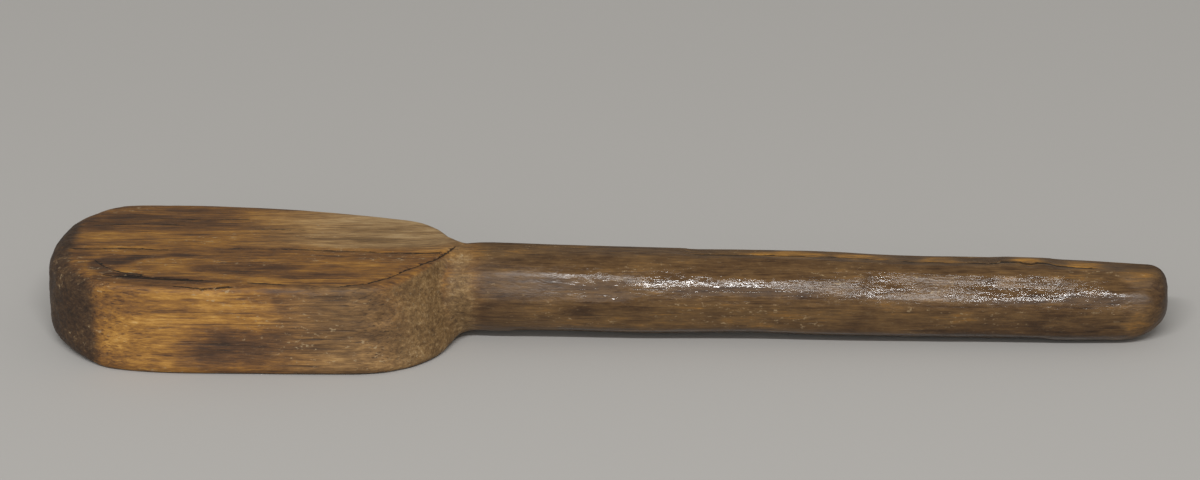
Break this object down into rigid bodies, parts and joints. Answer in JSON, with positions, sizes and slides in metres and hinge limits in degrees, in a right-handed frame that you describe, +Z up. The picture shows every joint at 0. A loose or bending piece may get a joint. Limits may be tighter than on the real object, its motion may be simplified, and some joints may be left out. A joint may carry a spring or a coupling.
{
  "type": "carved wooden toy paddle",
  "caption": "Small one-piece carved wooden paddle with a thick round-nosed blade and a tapering round grip, old and weathered.",
  "frame": {"origin": "bottom centre of the bounding box, under the middle of the piece as it lies on its blade's flat underside", "axes": "+X along the grip to its free end, +Y across the blade, +Z up from the surface it lies on"},
  "size_m": [0.24, 0.0488, 0.02],
  "materials": {
    "aged_wood": "hand-worn, satin on the grip and dry on the blade"
  },
  "bodies": {
    "root": {"paddle": "aged_wood"}
  },
  "joints": []
}
